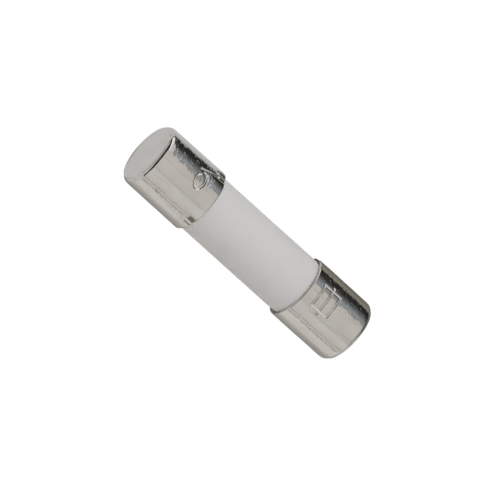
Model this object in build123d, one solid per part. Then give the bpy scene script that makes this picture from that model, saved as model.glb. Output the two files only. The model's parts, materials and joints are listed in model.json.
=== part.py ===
from build123d import *
import os
from math import cos, radians, sin

# Cartridge fuse: a 5 x 20 mm sand-filled link with a ceramic body and two plated end caps.
# Millimetres. The fuse's axis is X, +Z is up and the origin is the centre of the fuse, midway
# between the two end faces. The left cap is at -X and the right cap at +X.

# ---------------------------------------------------------------- driving dimensions

overall_length = 20.3      # over both end faces; the standard allows 20 +/- 0.5
cap_diameter = 5.1         # outside of the cap's barrel; the standard allows 5.2 +0.1 -0.2
left_cap_length = 5.4      # end face to mouth; drawn cups are trimmed to within about 0.1 mm
right_cap_length = 5.35
cap_wall = 0.15            # drawn sheet at the barrel
cap_floor = 0.20           # drawn sheet at the end face
cap_corner = 0.35          # outside radius where barrel meets end face
cap_inner_corner = 0.10
mouth_round = 0.03         # break on the outer edge of the mouth

tube_diameter = 4.6        # leaves 0.1 mm all round inside the cap for the cement
tube_bore = 3.0
tube_chamfer = 0.12        # at the ends, outside

washer_thickness = 0.20
washer_diameter = 4.4
washer_hole = 1.0
solder_depth = 0.35        # disc of solder on the floor of each cap

core_diameter = 0.50       # glass-fibre yarn that carries the winding
wire_diameter = 0.16
winding_pitch = 0.80
winding_clearance = 0.002  # between the wire and its core
socket_clearance = 0.003   # between the winding's crests and what surrounds them
core_end_gap = 0.05        # from the core's end to the cap's floor

bead_diameter = 1.24       # tin spot at the middle of the winding
bead_length = 0.90

cement_setback = 0.90      # from the mouth of the cap to the edge of the cement
cement_stop = 0.10         # short of the tube's end

# stamped marks and dents, at angles round X from +Y towards +Z
stamp_depth = 0.05
stroke = 0.16              # width of a stamped line
symbol_angle = 95          # middle of the fuse symbol on the right cap
symbol_length = 1.60       # along the axis
symbol_height = 1.93       # round the barrel
symbol_line = 2.50         # the conductor line, round the barrel
symbol_from_mouth = 1.66   # mouth to the middle of the symbol
ring_angle = 85            # small oval assembly ring on the left cap
ring_width = 0.95          # along the axis
ring_height = 1.45         # round the barrel
ring_from_mouth = 1.85
left_crimp_angles = (49, 149, 229, 329)   # two pairs of opposite jaws
right_crimp_angles = (15, 195)            # one pair
crimp_depth = 0.045        # flat pressed into the barrel at the mouth
crimp_length = 1.0

# ---------------------------------------------------------------- derived places

end_x = overall_length / 2
cap_radius = cap_diameter / 2
cap_inner_radius = cap_radius - cap_wall
floor_x = end_x - cap_floor
solder_x = floor_x - solder_depth
tube_end_x = solder_x - washer_thickness
tube_radius = tube_diameter / 2
core_end_x = floor_x - core_end_gap
helix_radius = (core_diameter + wire_diameter) / 2 + winding_clearance
socket_radius = helix_radius + wire_diameter / 2 + socket_clearance


# ---------------------------------------------------------------- helpers

def turned(outline):
    """A solid turned about X from a closed outline of (x, radius) points."""
    return revolve(make_face(Polyline(*outline, close=True)), axis=Axis.X)


def ring(x0, x1, inner, outer):
    """A plain tube along X between two radii."""
    return turned([(x0, inner), (x1, inner), (x1, outer), (x0, outer)])


def disc(x0, x1, radius):
    """A plain cylinder along X."""
    return turned([(x0, 0), (x1, 0), (x1, radius), (x0, radius)])


def mirrored(solid):
    """The same piece at the other end of the fuse."""
    return mirror(solid, about=Plane.YZ)


def write(node, solid):
    """Save one sub-part under its node's name."""
    solid.label = node
    export_step(solid, f"parts/{node}.step")


def barrel_plane(x, angle):
    """Plane touching the barrel: its x runs along the fuse and its z points outwards."""
    outward = (0, cos(radians(angle)), sin(radians(angle)))
    touch = Vector(x, 0, 0) + Vector(*outward) * cap_radius
    return Plane(origin=touch, x_dir=(1, 0, 0), z_dir=outward)


# ---------------------------------------------------------------- end caps

def plain_cap(length, crimp_angles):
    """Cup at the right-hand end: barrel, end face, a rounded corner between them, and crimps."""
    mouth_x = end_x - length
    outline = [
        (mouth_x, cap_inner_radius),
        (mouth_x, cap_radius),
        (end_x, cap_radius),
        (end_x, 0),
        (floor_x, 0),
        (floor_x, cap_inner_radius),
    ]
    section = make_face(Polyline(*outline, close=True))
    for corner, radius in (
        ((end_x, cap_radius), cap_corner),
        ((floor_x, cap_inner_radius), cap_inner_corner),
        ((mouth_x, cap_radius), mouth_round),
    ):
        vertex = section.vertices().sort_by_distance((*corner, 0))[0]
        section = fillet(vertex, radius)
    return revolve(section, axis=Axis.X) - crimps(mouth_x, crimp_angles)


def crimps(mouth_x, angles):
    """Flats pressed into the barrel at its mouth, as cutters."""
    lift = cap_radius      # tall enough to clear the barrel
    tools = []
    for angle in angles:
        place = barrel_plane(mouth_x + crimp_length / 2, angle)
        block = Box(crimp_length, cap_radius, lift, align=(Align.CENTER, Align.CENTER, Align.MIN))
        tools.append(place.offset(-crimp_depth) * block)
    return tools


def stamp(sketch, x, angle):
    """A flat mark wrapped onto the barrel: the layer of metal that it pushes down."""
    punch = extrude(barrel_plane(x, angle) * sketch, amount=cap_wall, both=True)
    deep = cap_radius - stamp_depth
    reach = cap_radius     # along the axis, past either side of the mark
    layer = ring(x - reach, x + reach, deep, cap_radius + cap_wall)
    return punch & layer


def fuse_symbol():
    """The usual circuit symbol of a fuse: a box with a line through it."""
    box = Rectangle(symbol_length, symbol_height)
    box -= Rectangle(symbol_length - 2 * stroke, symbol_height - 2 * stroke)
    return box + Rectangle(stroke, symbol_line)


def assembly_ring():
    """A plain small oval ring."""
    return Ellipse(ring_width / 2, ring_height / 2) - Ellipse(
        ring_width / 2 - stroke, ring_height / 2 - stroke
    )


def end_cap_right():
    mark_x = end_x - right_cap_length + symbol_from_mouth
    return plain_cap(right_cap_length, right_crimp_angles) - stamp(fuse_symbol(), mark_x, symbol_angle)


def end_cap_left():
    mark_x = -end_x + left_cap_length - ring_from_mouth
    cap = mirrored(plain_cap(left_cap_length, left_crimp_angles))
    return cap - stamp(assembly_ring(), mark_x, ring_angle)


# ---------------------------------------------------------------- body and filling

def ceramic_tube():
    """Plain ceramic tube with a small chamfer on both outer ends."""
    outer = tube_radius
    edge = tube_end_x - tube_chamfer
    return turned([
        (-tube_end_x, tube_bore / 2),
        (-tube_end_x, outer - tube_chamfer),
        (-edge, outer),
        (edge, outer),
        (tube_end_x, outer - tube_chamfer),
        (tube_end_x, tube_bore / 2),
    ])


def bead_body(inner):
    """Barrel-shaped bead about X, down to an inner radius."""
    half = bead_length / 2
    top = ThreePointArc((-half, socket_radius), (0, bead_diameter / 2), (half, socket_radius))
    under = Polyline((half, socket_radius), (half, inner), (-half, inner), (-half, socket_radius))
    return revolve(make_face(top + under), axis=Axis.X)


def tin_bead():
    """Tin spot that sits on the winding and lowers its melting point there."""
    half = bead_length / 2
    return bead_body(0) - disc(-half, half, socket_radius)


def quartz_filler():
    """Packed sand between the tube's bore and the wound element."""
    sand = ring(-tube_end_x, tube_end_x, socket_radius, tube_bore / 2)
    return sand - bead_body(0)


def cement_ring(cap_length):
    """Cement between a cap at the right-hand end and the tube, set back from the mouth."""
    start = end_x - cap_length + cement_setback
    stop = tube_end_x - tube_chamfer - cement_stop
    return ring(start, stop, tube_radius, cap_inner_radius)


# ---------------------------------------------------------------- element and its joints

def wire_core():
    return disc(-core_end_x, core_end_x, core_diameter / 2)


def fuse_wire():
    """The fusible wire, wound on the core from one cap to the other."""
    half = core_end_x - wire_diameter / 2
    path = Helix(winding_pitch, 2 * half, helix_radius, center=(-half, 0, 0), direction=(1, 0, 0))
    quarters = [CenterArc((0, 0), wire_diameter / 2, start, 90) for start in (0, 90, 180, 270)]
    section = Plane(origin=path @ 0, z_dir=path % 0) * make_face(Wire(quarters))
    return sweep(section, path=path, is_frenet=True)


def solder():
    """Solder on the right cap's floor, with the socket that the element's end is held in."""
    blank = disc(solder_x, floor_x, cap_inner_radius - cap_inner_corner)
    return blank - disc(solder_x, core_end_x, socket_radius)


def washer():
    """Fibre washer that closes the tube and keeps the sand in."""
    return ring(tube_end_x, solder_x, washer_hole / 2, washer_diameter / 2)


# ---------------------------------------------------------------- write every sub-part

os.makedirs("parts", exist_ok=True)

write("ceramic_tube", ceramic_tube())
write("end_cap_left", end_cap_left())
write("end_cap_right", end_cap_right())
write("quartz_filler", quartz_filler())
write("wire_core", wire_core())
write("fuse_wire", fuse_wire())
write("tin_bead", tin_bead())
write("cement_ring_left", mirrored(cement_ring(left_cap_length)))
write("cement_ring_right", cement_ring(right_cap_length))
for name, piece in (("solder", solder), ("washer", washer)):
    write(f"{name}_right", piece())
    write(f"{name}_left", mirrored(piece()))
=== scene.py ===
# %% [markdown]
# # A small ceramic cartridge fuse
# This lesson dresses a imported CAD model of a 5 x 20 mm fuse: a matt white ceramic tube held
# between two drawn, nickel-plated caps, with a wound wire, its core and sand sealed inside.
# The CAD model fixes every size and place. Here the two caps and the tube, which are all that
# shows, are remade with fine meshes, and every piece gets a finish made of shader nodes.

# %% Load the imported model
import json
import math
import bmesh
import bpy
import numpy as np
from mathutils import Matrix, Vector


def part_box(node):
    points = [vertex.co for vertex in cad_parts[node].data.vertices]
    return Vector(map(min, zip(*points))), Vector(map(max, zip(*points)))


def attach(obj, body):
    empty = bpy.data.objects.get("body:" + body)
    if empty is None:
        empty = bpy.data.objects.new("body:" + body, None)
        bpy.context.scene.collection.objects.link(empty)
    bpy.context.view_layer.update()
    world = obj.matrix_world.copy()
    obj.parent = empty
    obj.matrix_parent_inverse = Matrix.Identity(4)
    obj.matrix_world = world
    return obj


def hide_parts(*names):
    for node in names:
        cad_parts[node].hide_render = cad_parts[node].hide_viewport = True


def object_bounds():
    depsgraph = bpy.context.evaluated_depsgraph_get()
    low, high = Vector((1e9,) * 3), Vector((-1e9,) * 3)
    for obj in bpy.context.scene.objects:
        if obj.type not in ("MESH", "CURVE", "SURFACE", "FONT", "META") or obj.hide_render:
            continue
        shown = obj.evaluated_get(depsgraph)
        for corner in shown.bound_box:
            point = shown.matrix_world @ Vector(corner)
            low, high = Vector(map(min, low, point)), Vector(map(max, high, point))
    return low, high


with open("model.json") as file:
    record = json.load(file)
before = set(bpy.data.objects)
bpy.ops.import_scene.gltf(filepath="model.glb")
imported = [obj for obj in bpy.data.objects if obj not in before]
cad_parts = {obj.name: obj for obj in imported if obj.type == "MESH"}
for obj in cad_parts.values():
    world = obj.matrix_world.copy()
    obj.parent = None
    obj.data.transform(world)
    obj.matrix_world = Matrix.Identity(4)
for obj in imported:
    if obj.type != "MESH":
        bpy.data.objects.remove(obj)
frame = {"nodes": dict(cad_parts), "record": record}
cad_low, cad_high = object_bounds()
print("CAD box, mm:", [round(1000 * (high - low), 3) for low, high in zip(cad_low, cad_high)])

# %% [markdown]
# ## Sizes from the frame
# A good habit is to read sizes from the model instead of typing them again. Modelling this
# small in metres invites rounding trouble, because mesh operators have tolerances of their own,
# so the meshes are drawn in millimetres and scaled down once at the end.

# %% Driving sizes, in millimetres
METRE = 1000.0


def span(node, axis):
    """Lowest and highest place of a CAD node along one axis, in millimetres."""
    low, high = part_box(node)
    return low[axis] * METRE, high[axis] * METRE


X, Y, Z = 0, 1, 2
cap_radius = span("end_cap_left", Z)[1]
left_end, left_mouth = span("end_cap_left", X)
right_mouth, right_end = span("end_cap_right", X)
tube_radius = span("ceramic_tube", Z)[1]
tube_half = span("ceramic_tube", X)[1]
bore_radius = span("quartz_filler", Z)[1]
cap_inner_radius = span("cement_ring_left", Z)[1]
cap_wall = cap_radius - cap_inner_radius
floor_thickness = right_end - span("solder_right", X)[1]
print("cap radius", round(cap_radius, 3), "wall", round(cap_wall, 3), "tube radius", round(tube_radius, 3))

# %% [markdown]
# ## Small helpers for meshes
# Each turned piece starts as a chain of points on one side of the axis. Corners are rounded
# while the outline is still flat, which is cheap, and then the outline is spun once round X.
# The alternative, a cylinder primitive with loop cuts, gives the same shape with more steps.

# %% Outline, rounding and spinning
doublings = 4
seam_gap = 1e-4        # points nearer than this are one, in millimetres


def outline(bm, points):
    """A chain of (x, radius) points as vertices and edges in the XZ plane."""
    verts = [bm.verts.new((x, 0.0, radius)) for x, radius in points]
    edges = [bm.edges.new(pair) for pair in zip(verts, verts[1:])]
    return verts, edges


def long_runs(bm):
    """The outline's straight runs, apart from the short chords of its rounded corners."""
    return [edge for edge in bm.edges if edge.calc_length() > 0.1]


def divide(bm, edge, cuts):
    """Split an edge evenly, so that there are enough rings to press shapes into."""
    if cuts > 0:
        bmesh.ops.subdivide_edges(bm, edges=[edge], cuts=cuts)


def round_corner(bm, vert, radius, segments):
    """Turn a corner of the flat outline into an arc."""
    bmesh.ops.bevel(
        bm, geom=[vert], offset=radius, offset_type="OFFSET", segments=segments,
        profile=0.5, affect="VERTICES", material=-1,
    )


def spin_closed(bm, steps):
    """Spin one wedge of the shape round X, then double it until it meets itself.

    One full spin gives the same mesh, but slows with the square of its steps.
    """
    wedge = math.tau / 2**doublings
    bmesh.ops.spin(
        bm, geom=bm.verts[:] + bm.edges[:], cent=(0, 0, 0), axis=(1, 0, 0), dvec=(0, 0, 0),
        angle=wedge, steps=steps // 2**doublings, use_merge=False, use_duplicate=False,
    )
    for doubling in range(doublings):
        copied = bmesh.ops.duplicate(bm, geom=bm.verts[:] + bm.edges[:] + bm.faces[:])["geom"]
        moving = [item for item in copied if isinstance(item, bmesh.types.BMVert)]
        turn = Matrix.Rotation(wedge * 2**doubling, 3, "X")
        bmesh.ops.rotate(bm, verts=moving, cent=(0, 0, 0), matrix=turn)
    bmesh.ops.remove_doubles(bm, verts=bm.verts, dist=seam_gap)
    bmesh.ops.recalc_face_normals(bm, faces=bm.faces)


def finished_piece(bm, name, node, press=None):
    """Press the shape, scale it to metres, make the object, and let it stand for its CAD node."""
    mesh = bpy.data.meshes.new(name)
    bm.to_mesh(mesh)
    bm.free()
    places = np.zeros(len(mesh.vertices) * 3)
    mesh.vertices.foreach_get("co", places)
    places = places.reshape(-1, 3)
    if press:
        places = press(places)
    mesh.vertices.foreach_set("co", (places / METRE).ravel())
    mesh.polygons.foreach_set("use_smooth", [True] * len(mesh.polygons))
    mesh.update()
    piece = bpy.data.objects.new(name, mesh)
    bpy.context.scene.collection.objects.link(piece)
    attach(piece, "root")
    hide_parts(node)
    print(name, "faces", len(mesh.polygons))
    return piece


# %% [markdown]
# ## How sheet metal takes a press
# The caps are cups drawn from thin sheet. Their barrels taper slightly, wave a little, are
# crimped flat against the tube at the mouth, and carry stamped marks. All of these move the
# metal in or out along the radius, so each is a small function of two numbers: the distance
# from the mouth and the angle round the axis. They add up, and one pass moves every ring of
# vertices. A boolean cutter would leave knife edges, where pressed metal has soft ones.

# %% Profiles of a press


def ramp(value, start, stop):
    """Smooth step from 0 at start to 1 at stop."""
    t = np.clip((value - start) / (stop - start), 0, 1)
    return t * t * (3 - 2 * t)


def stroke_depth(distance, width, soft):
    """1 on a stamped line, falling to 0 at its softened edge."""
    return 1 - ramp(np.abs(distance), width / 2 - soft, width / 2 + soft)


def around(angle, centre):
    """Length round the barrel from a centre line, in millimetres, for angles in degrees."""
    turn = (angle - centre + 180) % 360 - 180
    return np.radians(turn) * cap_radius


# %% [markdown]
# ## The crimps and the body of the barrel
# The crimping jaws come in opposite pairs. Each leaves a small rectangular print at the mouth,
# whose steep sides catch the light. Before the corner, the drawn wall leans in a little.

# %% Barrel shape
taper = 0.022           # lost in radius from the mouth to the end face
shoulder_length = 0.70  # the barrel starts to lean in before the corner proper
shoulder_drop = 0.070
left_crimps = (49, 149, 229, 329)  # angles, for two pairs of jaws
right_crimps = (15, 195)
crimp_depth = 0.052
crimp_length = 0.90
crimp_width = 0.80
crimp_soft = 0.05
wave_height = 0.0035
wave_turns = (-9, -5, -2, 3, 7)    # waves in one turn
wave_pitch = (1.5, 5.0)            # their length along the barrel, between these


def barrel_inset(along, angle, length, crimps):
    """How far the barrel lies inside its nominal radius, without its marks."""
    lean = np.maximum(0.0, along - (length - shoulder_length)) / shoulder_length
    inset = taper * along / length + shoulder_drop * lean * lean
    for crimp in crimps:
        aside = np.abs(around(angle, crimp)) - crimp_width / 2
        print_edge = np.maximum(aside, along - crimp_length)
        inset += crimp_depth * (1 - ramp(print_edge, -crimp_soft, crimp_soft))
    return inset


def wave(along, angle, seed):
    """Slow unevenness of the drawn wall: a few waves that run at a slant round it."""
    random = np.random.default_rng(seed)
    height = np.zeros_like(along)
    for turns in wave_turns:
        pitch, phase = random.uniform(*wave_pitch), random.uniform(0, math.tau)
        height += np.sin(np.radians(angle) * turns + along * math.tau / pitch + phase)
    return wave_height * (1 + height / len(wave_turns))


print("crimps:", len(left_crimps), "on the left cap and", len(right_crimps), "on the right")

# %% [markdown]
# ## The stamped marks
# One cap carries a fuse's circuit symbol, a box with a line through it. The other carries an
# oval assembly ring in a shallow hollow, and a scuff from the crimping jaw.

# %% Marks
stamp_depth = 0.052
stamp_width = 0.15
stamp_soft = 0.040
symbol_angle = 95
symbol_from_mouth = 1.66
symbol_length = 1.61
symbol_height = 1.94
symbol_line = 2.50
ring_angle = 84
ring_from_mouth = 1.85
ring_width = 0.95
ring_height = 1.45
hollow_angle = 76
hollow_depth = 0.060
hollow_reach = 1.00
scuff_start = (2.20, 67)   # distance from the mouth, angle
scuff_end = (0.70, 53)
scuff_width = 0.19
scuff_depth = 0.064


def fuse_symbol(along, angle):
    """Depth of the symbol's lines at a place on the right cap."""
    u = np.abs(along - symbol_from_mouth)
    t = np.abs(around(angle, symbol_angle))
    box = np.maximum(u - (symbol_length - stamp_width) / 2, t - (symbol_height - stamp_width) / 2)
    line = np.maximum(u, t - (symbol_line - stamp_width) / 2)
    marks = [stroke_depth(distance, stamp_width, stamp_soft) for distance in (box, line)]
    return stamp_depth * np.maximum(*marks)


def assembly_ring(along, angle):
    """Depth of the oval ring, with the hollow it sits in and the scuff, on the left cap."""
    u = along - ring_from_mouth
    t = around(angle, ring_angle)
    half_width = (ring_width - stamp_width) / 2
    half_height = (ring_height - stamp_width) / 2
    reach = np.hypot(u / half_width, t / half_height)
    ring = stamp_depth * stroke_depth((reach - 1) * half_width, stamp_width, stamp_soft)
    aside = around(angle, hollow_angle)
    hollow = hollow_depth * np.exp(-(u * u + aside * aside) / hollow_reach**2)
    return ring + hollow + scuff(along, angle)


def scuff(along, angle):
    """A short straight score between two places."""
    run_along = scuff_end[0] - scuff_start[0]
    run_around = around(scuff_end[1], scuff_start[1])
    u = along - scuff_start[0]
    t = around(angle, scuff_start[1])
    share = np.clip((u * run_along + t * run_around) / (run_along**2 + run_around**2), 0, 1)
    distance = np.hypot(u - share * run_along, t - share * run_around)
    return scuff_depth * stroke_depth(distance, scuff_width, scuff_width / 3)


print("symbol, mm:", symbol_length, "x", symbol_line, "and ring, mm:", ring_width, "x", ring_height)

# %% [markdown]
# ## Drawing a cap
# The outline runs from the centre of the end face, over the corner, along the barrel, round
# the cut edge of the mouth and back along the inside. Rings are closest together where the
# marks are.

# %% Cap
corner_radius = 0.38
inner_corner = 0.10
rim_radius = 0.12      # outer edge of the mouth
rim_inner_radius = 0.03
corner_segments = 14
edge_segments = 4
face_dish = 0.018      # the end face is very slightly hollow
mark_start = 0.75      # the marks lie between these distances from the mouth
mark_stop = 2.75
spin_steps = 480
face_spacing = 0.28    # between rings, on the end face and the floor
inside_spacing = 0.16
barrel_spacing = 0.05
mark_spacing = 0.034
left_seed = 3          # each cap waves in its own way
right_seed = 8


def pressed(places, mouth, end, mark, crimps, seed):
    """Every point of a cap, moved to where the presses leave it."""
    way = 1 if end > mouth else -1
    length = abs(end - mouth)
    along = (places[:, X] - mouth) * way
    radius = np.hypot(places[:, Y], places[:, Z])
    angle = np.degrees(np.arctan2(places[:, Z], places[:, Y]))
    on_face = ramp(along, length - floor_thickness - corner_radius, length - floor_thickness)
    places[:, X] -= way * face_dish * on_face * (1 - ramp(radius, 0, cap_radius - corner_radius))
    on_barrel = ramp(radius, cap_inner_radius - inner_corner, cap_inner_radius)
    inset = barrel_inset(along, angle, length, crimps)
    inset += wave(along, angle, seed) + mark(along, angle)
    scale = 1 - inset * on_barrel / np.maximum(radius, inner_corner)
    places[:, Y] *= scale
    places[:, Z] *= scale
    return places


def drawn_cap(name, node, mouth, end, mark, crimps, seed):
    way = 1 if end > mouth else -1
    floor = end - way * floor_thickness
    bm = bmesh.new()
    points = [
        (end, 0.0),
        (end, cap_radius),
        (mouth + way * mark_stop, cap_radius),
        (mouth + way * mark_start, cap_radius),
        (mouth, cap_radius),
        (mouth, cap_inner_radius),
        (floor, cap_inner_radius),
        (floor, 0.0),
    ]
    verts, edges = outline(bm, points)
    round_corner(bm, verts[1], corner_radius, corner_segments)
    round_corner(bm, verts[4], rim_radius, edge_segments)
    round_corner(bm, verts[5], rim_inner_radius, edge_segments)
    round_corner(bm, verts[6], inner_corner, edge_segments)
    for edge in long_runs(bm):
        divide(bm, edge, run_cuts(edge, mouth, way))
    spin_closed(bm, spin_steps)
    return finished_piece(
        bm, name, node,
        lambda places: pressed(places, mouth, end, mark, crimps, seed),
    )


def run_cuts(edge, mouth, way):
    """How finely to divide one straight run of a cap's outline."""
    middle = (edge.verts[0].co + edge.verts[1].co) / 2
    along = (middle.x - mouth) * way
    run = edge.calc_length()
    if middle.z < cap_inner_radius - inner_corner:
        spacing = face_spacing
    elif middle.z < (cap_radius + cap_inner_radius) / 2:
        spacing = inside_spacing
    elif mark_start < along < mark_stop:
        spacing = mark_spacing
    else:
        spacing = barrel_spacing
    return round(run / spacing) - 1


cap_left = drawn_cap(
    "drawn_cap_left", "end_cap_left", left_mouth, left_end, assembly_ring, left_crimps, left_seed,
)
cap_right = drawn_cap(
    "drawn_cap_right", "end_cap_right", right_mouth, right_end, fuse_symbol, right_crimps, right_seed,
)

# %% [markdown]
# ## The ceramic tube
# Extruded and fired, the tube is almost true, with chamfered ends that hide in the caps. A
# faint waviness keeps its long highlight from looking machined.

# %% Tube
tube_chamfer = 0.12
tube_wave = 0.004
tube_wave_turns = 3
tube_wave_pitch = 5.5
tube_steps = 256
tube_spacing = 0.2
chamfer_segments = 3


def slightly_wavy(places):
    """The tube's outside, a few thousandths off true."""
    radius = np.hypot(places[:, Y], places[:, Z])
    angle = np.arctan2(places[:, Z], places[:, Y])
    slant = np.sin(angle * tube_wave_turns + places[:, X] * math.tau / tube_wave_pitch)
    outside = ramp(radius, tube_radius - tube_chamfer, tube_radius)
    scale = 1 - tube_wave * outside * (1 + slant) / 2 / radius
    places[:, Y] *= scale
    places[:, Z] *= scale
    return places


def ceramic_body():
    bm = bmesh.new()
    points = [
        (-tube_half, bore_radius),
        (-tube_half, tube_radius),
        (tube_half, tube_radius),
        (tube_half, bore_radius),
    ]
    verts, edges = outline(bm, points)
    bm.edges.new((verts[3], verts[0]))
    round_corner(bm, verts[1], tube_chamfer, chamfer_segments)
    round_corner(bm, verts[2], tube_chamfer, chamfer_segments)
    for edge in long_runs(bm):
        divide(bm, edge, round(edge.calc_length() / tube_spacing) - 1)
    spin_closed(bm, tube_steps)
    return finished_piece(bm, "ceramic_body", "ceramic_tube", slightly_wavy)


tube = ceramic_body()

# %% [markdown]
# ## Writing shaders as sums
# Node trees are hard to read as text. One small class wraps a socket, so that ordinary
# arithmetic adds the Math nodes, and one method makes any other node from its type, its
# settings and its sockets.

# %% Shader helpers


class Value:
    """A socket that varies over the surface and takes part in Python arithmetic."""

    def __init__(self, finish, socket):
        self.finish = finish
        self.socket = socket

    def math(self, operation, left, right):
        return self.finish.node("ShaderNodeMath", {"operation": operation}, {0: left, 1: right})

    def __add__(self, other):
        return self.math("ADD", self, other)

    def __radd__(self, other):
        return self.math("ADD", other, self)

    def __sub__(self, other):
        return self.math("SUBTRACT", self, other)

    def __rsub__(self, other):
        return self.math("SUBTRACT", other, self)

    def __mul__(self, other):
        return self.math("MULTIPLY", self, other)


class Finish:
    """One material: a Principled shader and whatever feeds it."""

    def __init__(self, name):
        self.material = bpy.data.materials.new(name)
        self.material.use_nodes = True
        self.tree = self.material.node_tree
        self.tree.nodes.clear()
        self.place = self.node("ShaderNodeTexCoord", {}, {}, "Object")

    def node(self, kind, settings, sockets, output=0):
        """Add a node: its settings first, then values or links for its sockets."""
        made = self.tree.nodes.new(kind)
        for name, setting in settings.items():
            if name == "stops":
                self.stops(made.color_ramp, setting)
            else:
                setattr(made, name, setting)
        for key, value in sockets.items():
            if isinstance(value, Value):
                self.tree.links.new(value.socket, made.inputs[key])
            else:
                made.inputs[key].default_value = value
        return Value(self, made.outputs[output]) if made.outputs else made

    def stops(self, ramp_data, stops):
        """Set a colour ramp's stops from (position, colour) pairs."""
        while len(ramp_data.elements) < len(stops):
            ramp_data.elements.new(1.0)
        for element, (position, colour) in zip(ramp_data.elements, stops):
            element.position = position
            element.color = colour

    def stretched(self, scale):
        """Object coordinates scaled per axis, in features per metre."""
        sockets = {"Vector": self.place, "Scale": scale}
        return self.node("ShaderNodeMapping", {"vector_type": "POINT"}, sockets)

    def absolute(self, value):
        return value.math("ABSOLUTE", value, 0.0)

    def grain(self, scale, detail, rough, where=None):
        """Cloudy noise from 0 to 1; scale is features per metre."""
        sockets = {"Vector": where or self.place, "Scale": scale, "Detail": detail, "Roughness": rough}
        return self.node("ShaderNodeTexNoise", {}, sockets)

    def between(self, value, low, high):
        """0 below low, 1 above high, smooth between."""
        settings = {"interpolation_type": "SMOOTHSTEP"}
        sockets = {"Value": value, "From Min": low, "From Max": high, "To Min": 0.0, "To Max": 1.0}
        return self.node("ShaderNodeMapRange", settings, sockets)

    def blend(self, factor, low, high):
        """A colour between two colours."""
        return self.node("ShaderNodeMix", {"data_type": "RGBA"}, {0: factor, 6: low, 7: high}, 2)

    def relief(self, height, depth, normal=None):
        """Bump from a height of 0 to 1 that is depth metres tall."""
        sockets = {"Strength": 1.0, "Distance": depth, "Height": height}
        if normal:
            sockets["Normal"] = normal
        return self.node("ShaderNodeBump", {}, sockets)

    def shade(self, **sockets):
        """The Principled shader, with spaces in socket names written as underscores."""
        named = {name.replace("_", " "): value for name, value in sockets.items()}
        surface = self.node("ShaderNodeBsdfPrincipled", {}, named)
        self.node("ShaderNodeOutputMaterial", {}, {"Surface": surface})
        return self.material


# %% [markdown]
# ## Barrel-plated nickel
# Small parts are plated by the thousand in a tumbling barrel. The nickel is warm and bright,
# but it keeps the fine rings that the drawing die left round the cup, broken into dimples, and
# the barrel adds shallow dents and a few pits. The dimples tilt the surface mostly along the
# axis, so a reflected edge that runs along the cap stays sharp while one that crosses it breaks
# up. All of these are relief, not paint. The paint is real colour, faint clouds, streaks and
# stains, and also painted light: painted shade in the crimp prints at the mouth, one painted
# dark reflection line along each cap, and painted highlights along the stamped lines.

# %% Nickel
dent_relief = 0.4e-5        # metres
jaws_iron = (0.15, 1.10)    # from the mouth, mm: the jaws have ironed the dimples away up to here
punch_irons = (5.05, 4.60)  # and the drawing punch beyond here
shade_patch_length = 0.62
shade_patch_fray = 0.12           # how far noise frays the edge of a painted shade patch
shade_patch_soft = (0.09, -0.03)


def barrel_place(f, mouth, way):
    """Distance from the mouth in mm, and angle round the axis in radians, as shader values."""
    x = f.node("ShaderNodeSeparateXYZ", {}, {"Vector": f.place}, X)
    y = f.node("ShaderNodeSeparateXYZ", {}, {"Vector": f.place}, Y)
    z = f.node("ShaderNodeSeparateXYZ", {}, {"Vector": f.place}, Z)
    return (x * METRE - mouth) * way, z.math("ARCTAN2", z, y)


def bars(f, place, centre, half_length, offsets, half_width, soft):
    """1 on soft-edged bars along the barrel, at some distances round it from a centre."""
    along, turn = place
    u = f.absolute(along - centre[0])
    t = (turn - math.radians(centre[1])) * cap_radius
    total = 0.0
    for offset in offsets:
        aside = f.absolute(t - offset)
        edge = aside.math("MAXIMUM", aside - half_width, u - half_length)
        total = f.between(edge, soft, -soft) + total
    return total


def crimp_print_shade(f, place, shade_patches):
    """1 on patches of painted shade in the crimp prints at the mouth; each has an angle and a width."""
    along, turn = place
    fray_noise = f.grain(3800.0, 2.0, 0.6)
    total = 0.0
    for angle, width in shade_patches:
        aside = f.absolute((turn - math.radians(angle)) * cap_radius)
        edge = aside.math("MAXIMUM", aside - width / 2, along - shade_patch_length)
        total = f.between(edge + fray_noise * shade_patch_fray, *shade_patch_soft) + total
    return total


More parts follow.
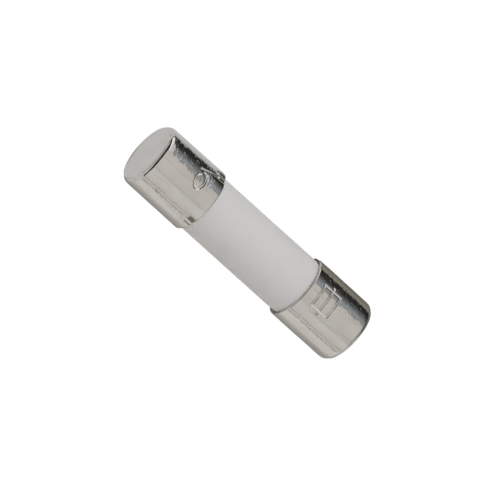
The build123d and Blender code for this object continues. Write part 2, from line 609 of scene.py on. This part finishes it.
def nickel_finish(name, dimple_scale, dimple_relief, pit_depth, mouth, way, shade_patches, highlight_at, reflection_line_at):
    f = Finish(name)
    place = barrel_place(f, mouth, way)
    kept = f.between(place[0], *jaws_iron) * f.between(place[0], *punch_irons)
    dimples = f.grain(1.0, 1.5, 0.5, f.stretched(dimple_scale)) * kept
    dents = f.grain(2300.0, 1.0, 0.5)
    dimpled = f.relief(dimples, dimple_relief)
    dented = f.relief(dents, dent_relief, dimpled)
    pits = f.between(f.grain(5200.0, 1.0, 0.5), 0.58, 0.72) * kept
    pitted = f.relief(pits, pit_depth, dented)
    clouds = f.grain(620.0, 4.0, 0.6)
    streaks = f.between(f.grain(1.0, 4.0, 0.6, f.stretched((230.0, 2100.0, 2100.0))), 0.54, 0.72)
    stain = f.between(f.grain(2400.0, 4.0, 0.65), 0.60, 0.80)
    plain = f.blend(f.between(clouds, 0.3, 0.7), (0.655, 0.628, 0.584, 1), (0.700, 0.672, 0.630, 1))
    streaked = f.blend(streaks * 0.6, plain, (0.55, 0.52, 0.46, 1))
    stained = f.blend(stain * 0.25, streaked, (0.50, 0.46, 0.37, 1))
    # Painted shade: dark patches in the crimp prints at the mouth.
    crimp_shaded = f.blend(crimp_print_shade(f, place, shade_patches) * 0.90, stained, (0.17, 0.158, 0.112, 1))
    # Painted reflection: one thin dark line along the barrel.
    with_reflection_line = f.blend(bars(f, place, *reflection_line_at) * clouds * 0.9, crimp_shaded, (0.38, 0.36, 0.32, 1))
    # Painted highlights: bright thin lines on the edges of the stamped marks.
    colour = f.blend(bars(f, place, *highlight_at) * 0.9, with_reflection_line, (0.95, 0.93, 0.89, 1))
    roughness = 0.07 + clouds * 0.05 + stain * 0.08
    return f.shade(Base_Color=colour, Metallic=1.0, Roughness=roughness, Normal=pitted)


# %% [markdown]
# ## Fired ceramic
# The body is dense, unglazed and almost white, with a broad soft sheen. Its colour drifts very
# slightly between cool and pink, and a fine grain shows close up.

# %% Ceramic


def ceramic_finish():
    f = Finish("fired_ceramic")
    drift = f.grain(420.0, 2.0, 0.5)
    grain = f.grain(9000.0, 3.0, 0.6)
    specks = f.between(f.grain(5200.0, 2.0, 0.5), 0.70, 0.78)
    plain = f.blend(drift, (0.745, 0.742, 0.730, 1), (0.765, 0.748, 0.742, 1))
    smudges = f.between(f.grain(760.0, 5.0, 0.62), 0.50, 0.72)
    smudged = f.blend(smudges * 0.16, plain, (0.56, 0.54, 0.52, 1))
    colour = f.blend(specks * 0.10, smudged, (0.45, 0.43, 0.40, 1))
    return f.shade(
        Base_Color=colour, Roughness=0.46 + grain * 0.12, Specular_IOR_Level=0.30,
        Normal=f.relief(grain, 1.2e-6),
    )


# %% [markdown]
# ## What is sealed inside
# None of these pieces shows while the fuse is whole, but the model can be taken apart, so each
# has the finish of the real thing: packed quartz sand, glass yarn, silvered wire, tin,
# vulcanised fibre and gritty cement.

# %% Inner finishes


def sand_finish():
    f = Finish("quartz_sand")
    grains = f.node("ShaderNodeTexVoronoi", {}, {"Vector": f.place, "Scale": 5200.0})
    tint = f.grain(5200.0, 1.0, 0.5)
    colour = f.blend(tint, (0.56, 0.49, 0.37, 1), (0.86, 0.83, 0.76, 1))
    return f.shade(Base_Color=colour, Roughness=0.75 - grains * 0.3, Normal=f.relief(1 - grains, 4e-5))


def yarn_finish():
    f = Finish("glass_yarn")
    fibres = f.grain(1.0, 3.0, 0.6, f.stretched((2500.0, 30000.0, 30000.0)))
    colour = f.blend(fibres, (0.70, 0.69, 0.64, 1), (0.92, 0.91, 0.87, 1))
    return f.shade(Base_Color=colour, Roughness=0.45 + fibres * 0.2, Normal=f.relief(fibres, 8e-6))


def wire_finish():
    f = Finish("silver_plated_wire")
    lines = f.grain(1.0, 3.0, 0.6, f.stretched((6000.0, 6000.0, 22000.0)))
    colour = f.blend(lines, (0.76, 0.74, 0.70, 1), (0.90, 0.89, 0.86, 1))
    roughness = 0.18 + lines * 0.12
    return f.shade(Base_Color=colour, Metallic=1.0, Roughness=roughness, Normal=f.relief(lines, 1e-6))


def tin_finish():
    f = Finish("cast_tin")
    crystals = f.node("ShaderNodeTexVoronoi", {}, {"Vector": f.place, "Scale": 2600.0})
    frost = f.grain(12000.0, 3.0, 0.6)
    colour = f.blend(crystals, (0.62, 0.62, 0.63, 1), (0.50, 0.50, 0.51, 1))
    cast_skin = f.relief(crystals + frost * 0.3, 6e-6)
    return f.shade(Base_Color=colour, Metallic=1.0, Roughness=0.28 + frost * 0.25, Normal=cast_skin)


def fibre_finish():
    f = Finish("vulcanised_fibre")
    strands = f.grain(1.0, 4.0, 0.7, f.stretched((3000.0, 9000.0, 2500.0)))
    colour = f.blend(strands, (0.16, 0.13, 0.10, 1), (0.34, 0.29, 0.24, 1))
    return f.shade(Base_Color=colour, Roughness=0.6 + strands * 0.15, Normal=f.relief(strands, 6e-6))


def cement_finish():
    f = Finish("cap_cement")
    grit = f.grain(7000.0, 4.0, 0.7)
    stain = f.grain(900.0, 2.0, 0.5)
    colour = f.blend(stain, (0.40, 0.37, 0.30, 1), (0.56, 0.53, 0.46, 1))
    return f.shade(Base_Color=colour, Roughness=0.7 + grit * 0.2, Normal=f.relief(grit, 1.5e-5))


def dress(piece, material):
    piece.data.materials.clear()
    piece.data.materials.append(material)


# Each patch of painted shade in the crimp prints has its angle and its width at the mouth.
left_shade_patches = ((39, 0.95), (144, 0.46), (155.5, 0.20), (-136, 0.46), (-36, 0.46))
right_shade_patches = ((12, 0.5), (-168, 0.5))

# Bars: a centre, as a distance from the mouth and an angle, then half a length, the distances
# of the bars round the barrel from that centre, half a width and a softness.
bar_width = 0.04
bar_offset = (symbol_height - stamp_width) / 2
# Painted highlights on the left cap's stamped ring.
left_highlight = ((ring_from_mouth, ring_angle), 0.16, (0.60,), bar_width, 0.03)
# A painted dark reflection line along the left cap.
left_reflection_line = ((2.7, 118.5), 2.2, (0.0,), 0.03, 0.10)
# Painted highlights on the right cap's stamped symbol.
right_highlight = (
    (symbol_from_mouth, symbol_angle), symbol_length / 2 - 0.08, (-bar_offset, bar_offset),
    bar_width, 0.03,
)
# A painted dark reflection line along the right cap.
right_reflection_line = ((3.0, 123.0), 2.0, (0.0,), 0.07, 0.13)

nickel = nickel_finish(
    "nickel_dimpled", (4700.0, 2100.0, 2100.0), 2.0e-5, 0.7e-5, left_mouth, -1, left_shade_patches,
    left_highlight, left_reflection_line,
)
dress(cap_left, nickel)
dress(cap_right, nickel_finish(
    "nickel_ringed", (5200.0, 1900.0, 1900.0), 1.7e-5, 0.5e-5, right_mouth, 1, right_shade_patches,
    right_highlight, right_reflection_line,
))
dress(tube, ceramic_finish())
finish_of_slot = {
    "tube_ceramic": tube.data.materials[0],
    "cap_nickel": nickel,
    "sand": sand_finish(),
    "core_yarn": yarn_finish(),
    "silvered_wire": wire_finish(),
    "tin": tin_finish(),
    "fibre": fibre_finish(),
    "cement": cement_finish(),
}
for part in frame["record"]["subparts"]:
    dress(frame["nodes"][part["node"]], finish_of_slot[part["material_slot"]])
print("finishes:", sorted(m.name for m in bpy.data.materials if m.users))

# %% [markdown]
# ## The light table and the tent
# Bright metal shows its surroundings more than itself, so the surroundings are built with the
# same care as the fuse. To the eye the fuse lies on an evenly lit white table. In its own
# reflections it sees a light tent: a grey floor that darkens under it, a broad warm panel
# overhead, a pale front, and dark boards behind and to the left, with a bright gap between
# them. These sheets work like the flags on a film set: only the reflections see them, so each
# can be tuned without changing the light on the ceramic.

# %% Sheets


def stage_sheet(name, centre, right, up, material):
    """A flat rectangle or parallelogram given by its centre and two half-edges, in metres."""
    bm = bmesh.new()
    bmesh.ops.create_grid(bm, x_segments=8, y_segments=8, size=1.0)
    across, rise = Vector(right), Vector(up)
    facing = across.cross(rise).normalized()
    placing = Matrix((across, rise, facing)).transposed().to_4x4()
    placing.translation = Vector(centre)
    bmesh.ops.transform(bm, matrix=placing, verts=bm.verts)
    mesh = bpy.data.meshes.new(name)
    bm.to_mesh(mesh)
    bm.free()
    sheet = bpy.data.objects.new(name, mesh)
    bpy.context.scene.collection.objects.link(sheet)
    sheet.data.materials.append(material)
    return sheet


def seen_only_by(sheet, eye=False, metal=False):
    """Limit a sheet to what the camera sees, or to what reflections see."""
    sheet.visible_camera = eye
    sheet.visible_glossy = metal
    sheet.visible_diffuse = False
    sheet.visible_shadow = False
    sheet.visible_transmission = False


def graded(name, axis, stops):
    """A glowing surface whose colour follows (place in mm, colour) stops along one axis."""
    f = Finish(name)
    first, last = stops[0][0], stops[-1][0]
    place = f.node("ShaderNodeSeparateXYZ", {}, {"Vector": f.place}, axis)
    sockets = {
        "Value": place, "From Min": first / METRE, "From Max": last / METRE, "To Min": 0.0, "To Max": 1.0,
    }
    share = f.node("ShaderNodeMapRange", {}, sockets)
    placed = [((where - first) / (last - first), (*colour, 1)) for where, colour in stops]
    colour = f.node("ShaderNodeValToRGB", {"stops": placed}, {"Fac": share})
    surface = f.node("ShaderNodeEmission", {}, {"Color": colour, "Strength": 1.0})
    f.node("ShaderNodeOutputMaterial", {}, {"Surface": surface})
    return f.material


def floor_sheet(name, x_range, y_range, lift, material, lean_over=0.0):
    """A sheet lying on the table between limits in mm; it may lean toward +X as y grows."""
    half_x = (x_range[1] - x_range[0]) / 2
    half_y = (y_range[1] - y_range[0]) / 2
    middle_y = y_range[0] + half_y
    middle_x = x_range[0] + half_x + lean_over * middle_y
    centre = Vector((middle_x, middle_y, lift)) / METRE + Vector((0, 0, cad_low.z))
    return stage_sheet(
        name, centre, Vector((half_x, 0, 0)) / METRE,
        Vector((lean_over * half_y, half_y, 0)) / METRE, material,
    )


def pale_table():
    f = Finish("pale_table")
    fibres = f.grain(900.0, 3.0, 0.6)
    colour = f.blend(fibres, (0.90, 0.855, 0.805, 1), (0.92, 0.875, 0.825, 1))
    # The hidden table also glows faintly: a weak fill light from below, never seen directly.
    return f.shade(
        Base_Color=colour, Roughness=0.9, Specular_IOR_Level=0.0,
        Emission_Color=(1.0, 0.98, 0.95, 1), Emission_Strength=0.10,
    )


def grey(level, warmth=0.03):
    """A grey of this brightness, a little warm, or cool if warmth is negative."""
    return (level, level * (1 - warmth / 2), level * (1 - warmth))


def olive(level):
    """A yellowish green grey of this brightness."""
    return (level, level * 0.985, level * 0.84)


table = floor_sheet("table", (-900, 900), (-900, 900), 0.0, pale_table())
table.visible_camera = False
table.visible_glossy = False
white = graded("white_table", Y, [(-900, grey(1.0, 0.0)), (900, grey(1.0, 0.0))])
eye_table = floor_sheet("eye_table", (-900, 900), (-900, 900), 0.01, white)
seen_only_by(eye_table, eye=True)
print("table top at, mm:", round(cad_low.z * METRE, 3))

# %% [markdown]
# ## What the metal sees of the table
# Close to the fuse the table lies in its shade. Farther off it is pale in front, and an olive
# grey, then black, behind. The left cap sees a paler patch there. A dark strip in front, with a
# rail on the board beyond it, makes the thin double line low on both caps.

# %% Floor in reflections
far_floor = floor_sheet("far_floor", (-900, 900), (-900, 900), 0.02, graded("far_floor", Y, [
    (-900, grey(0.70)), (-60, grey(0.70)), (40, grey(0.22)), (80, grey(0.04)), (900, grey(0.04)),
]))
near_floor = floor_sheet("near_floor", (-300, 300), (-90, 60), 0.03, graded("near_floor", Y, [
    (-90, grey(0.70)), (-62, grey(0.66)), (-56, grey(0.36, 0.12)), (-33, grey(0.36, 0.12)),
    (-29, grey(0.76, 0.01)),
    (-7, grey(0.75, 0.02)), (-5.8, grey(0.68)), (-4.6, grey(0.50)), (-3.4, grey(0.42)),
    (-2.5, grey(0.30)), (2.5, olive(0.10)), (5.0, olive(0.155)), (8.7, olive(0.22)),
    (17.6, olive(0.30)), (40, olive(0.29)), (60, olive(0.16)),
]))
left_floor = floor_sheet("left_floor", (-160, 1), (2.5, 60), 0.04, graded("left_floor", Y, [
    (2.5, grey(0.40)), (5.0, grey(0.60, -0.05)), (8.7, grey(0.66, -0.06)), (14, grey(0.60, -0.06)),
    (22, grey(0.50, -0.03)), (32, grey(0.30)), (38, grey(0.03)), (60, grey(0.02)),
]), 0.37)
left_end_floor = floor_sheet("left_end_floor", (-90, -10.3), (-80, 60), 0.05, graded("left_end_floor", X, [
    (-90, (0.67, 0.68, 0.69)), (-10.3, (0.65, 0.662, 0.675)),
]))
right_end_floor = floor_sheet("right_end_floor", (10.2, 60), (-2.4, 2.4), 0.05, graded("right_end_floor", X, [
    (10.2, grey(0.30)), (10.8, grey(0.50)), (11.6, grey(0.64)), (14, grey(0.70)), (60, grey(0.72)),
]))
floor_sheets = (far_floor, near_floor, left_floor, left_end_floor, right_end_floor)
print("floor sheets:", [sheet.name for sheet in floor_sheets])

# %% [markdown]
# ## Boards and panels
# The slate board behind brightens toward its top. It gives both caps their deep band, and the
# gap beside it gives the bright sliver at the left cap's corner. The dark line at that corner
# comes from the side board, with a pale low board that keeps it thin and a leaning post in
# front that carries it on downward.

# %% Boards
panel_height = 0.60
back_board = stage_sheet(
    "back_board", (0.849, 0.395, panel_height / 2), (0.73, 0, 0), (0.069, 0, panel_height / 2),
    graded("slate_board", Z, [
        (0, grey(0.020)), (66, grey(0.030)), (137, grey(0.036)), (192, grey(0.09, -0.12)),
        (270, grey(0.18, -0.20)), (358, grey(0.29, -0.24)), (460, grey(0.37, -0.20)),
        (530, grey(0.30, -0.12)), (600, grey(0.26, -0.06)),
    ]),
)
gap_board = stage_sheet(
    "gap_board", (0.065, 0.45, 0.5), (0.265, 0, 0), (0, 0, 0.5),
    graded("gap_board", X, [
        (-200, grey(1.20, 0.01)), (-20, grey(1.15, 0.01)), (50, grey(0.72, -0.10)),
        (330, grey(0.50, -0.18)),
    ]),
)
side_board = stage_sheet(
    "side_board", (-0.42, 0.60, 0.45), (0, 1.40, 0), (0, 0, 0.45),
    graded("side_board", Z, [(0, grey(0.02, 0.15)), (900, grey(0.05, 0.10))]),
)
front_board = stage_sheet(
    "front_board", (0, -0.50, panel_height / 2), (0.90, 0, 0), (0, 0, panel_height / 2),
    graded("front_board", Z, [
        (0, grey(0.69)), (44, grey(0.69)), (50, grey(0.34, 0.10)), (66, grey(0.34, 0.10)),
        (72, grey(0.69)), (220, grey(0.72, 0.02)), (380, grey(0.745, 0.0)), (600, grey(0.72, 0.0)),
    ]),
)
low_side_board = stage_sheet(
    "low_side_board", (-0.41, 0.0, 0.075), (0, 0.45, 0), (0, 0, 0.075),
    graded("low_side_board", Z, [(0, grey(0.66)), (110, grey(0.55)), (150, grey(0.30))]),
)
front_post = stage_sheet(
    "front_post", (-0.415, -0.49, panel_height / 2), (0.15, 0, 0), (-0.135, 0, panel_height / 2),
    graded("front_post", Z, [(0, grey(0.05)), (600, grey(0.05))]),
)
panel = stage_sheet(
    "overhead_panel", (0, -0.0525, panel_height), (0.75, 0, 0), (0, 0.4475, 0),
    graded("overhead_panel", Y, [
        (-500, grey(0.66, 0.01)), (-350, grey(0.67, 0.02)), (-200, grey(0.69, 0.04)),
        (50, grey(0.70, 0.05)), (395, grey(0.66, 0.06)),
    ]),
)
boards = (back_board, gap_board, side_board, low_side_board, front_board, front_post, panel)
for sheet in floor_sheets + boards:
    seen_only_by(sheet, metal=True)
print("boards:", [sheet.name for sheet in boards])

# %% [markdown]
# ## The light that falls
# The pale room lights the ceramic from all round, and one soft lamp overhead adds the slow fall
# from the top of the tube to its near side. The lamp is left out of reflections.

# %% Room and lamp
room_level = 0.405
lamp_power = 1.48
lamp_place = Vector((-0.08, 0.12, 0.61))
lamp_data = bpy.data.lights.new("soft_lamp", "AREA")
lamp_data.energy = lamp_power
lamp_data.shape = "SQUARE"
lamp_data.size = 0.35
lamp = bpy.data.objects.new("soft_lamp", lamp_data)
bpy.context.scene.collection.objects.link(lamp)
facing = lamp_place.to_track_quat("Z", "Y").to_matrix().to_4x4()
lamp.matrix_world = Matrix.Translation(lamp_place) @ facing
lamp.visible_camera = False
lamp.visible_glossy = False

room = bpy.data.worlds.new("pale_room")
room.use_nodes = True
background = room.node_tree.nodes["Background"]
background.inputs["Color"].default_value = (room_level, room_level, room_level, 1)
bpy.context.scene.world = room
print("room level", room_level, "and lamp, W:", lamp_power)

# %% [markdown]
# ## The camera
# The view is set by three turns. The lens looks down on the fuse from 70 degrees round its
# axis, the fuse leans 20 degrees away from square to the lens, so its left end face shows, and
# the view is rolled so that the fuse runs from top left to bottom right. A long lens keeps
# both caps the same size.

# %% Camera
lean = math.radians(20.2)
height_round_axis = math.radians(70.0)
roll = math.radians(42.0)
view_width = 0.03469       # at the fuse, in metres
sensor_width = 36.0
focal_length = 1200.0
aim_right = 0.00011        # the fuse's centre lies this far right of, and above, the view's centre
aim_up = 0.000195


def make_camera():
    s, c = math.sin(lean), math.cos(lean)
    front = Vector((0, -math.cos(height_round_axis), math.sin(height_round_axis)))
    over = Vector((0, math.sin(height_round_axis), math.cos(height_round_axis)))
    along = Vector((1, 0, 0))
    toward = c * front - s * along
    level_right = c * along + s * front
    right = math.cos(roll) * level_right + math.sin(roll) * over
    up = math.cos(roll) * over - math.sin(roll) * level_right
    distance = view_width * focal_length / sensor_width
    data = bpy.data.cameras.new("camera")
    data.lens = focal_length
    data.sensor_width = sensor_width
    data.clip_start = 0.01
    data.clip_end = 10.0
    camera = bpy.data.objects.new("camera", data)
    bpy.context.scene.collection.objects.link(camera)
    place = toward * distance - right * aim_right - up * aim_up
    turn = Matrix((right, up, toward)).transposed().to_4x4()
    camera.matrix_world = Matrix.Translation(place) @ turn
    bpy.context.scene.camera = camera
    return camera


camera = make_camera()
bpy.context.scene.view_settings.view_transform = "Standard"
print("camera at, m:", [round(v, 4) for v in camera.matrix_world.translation])
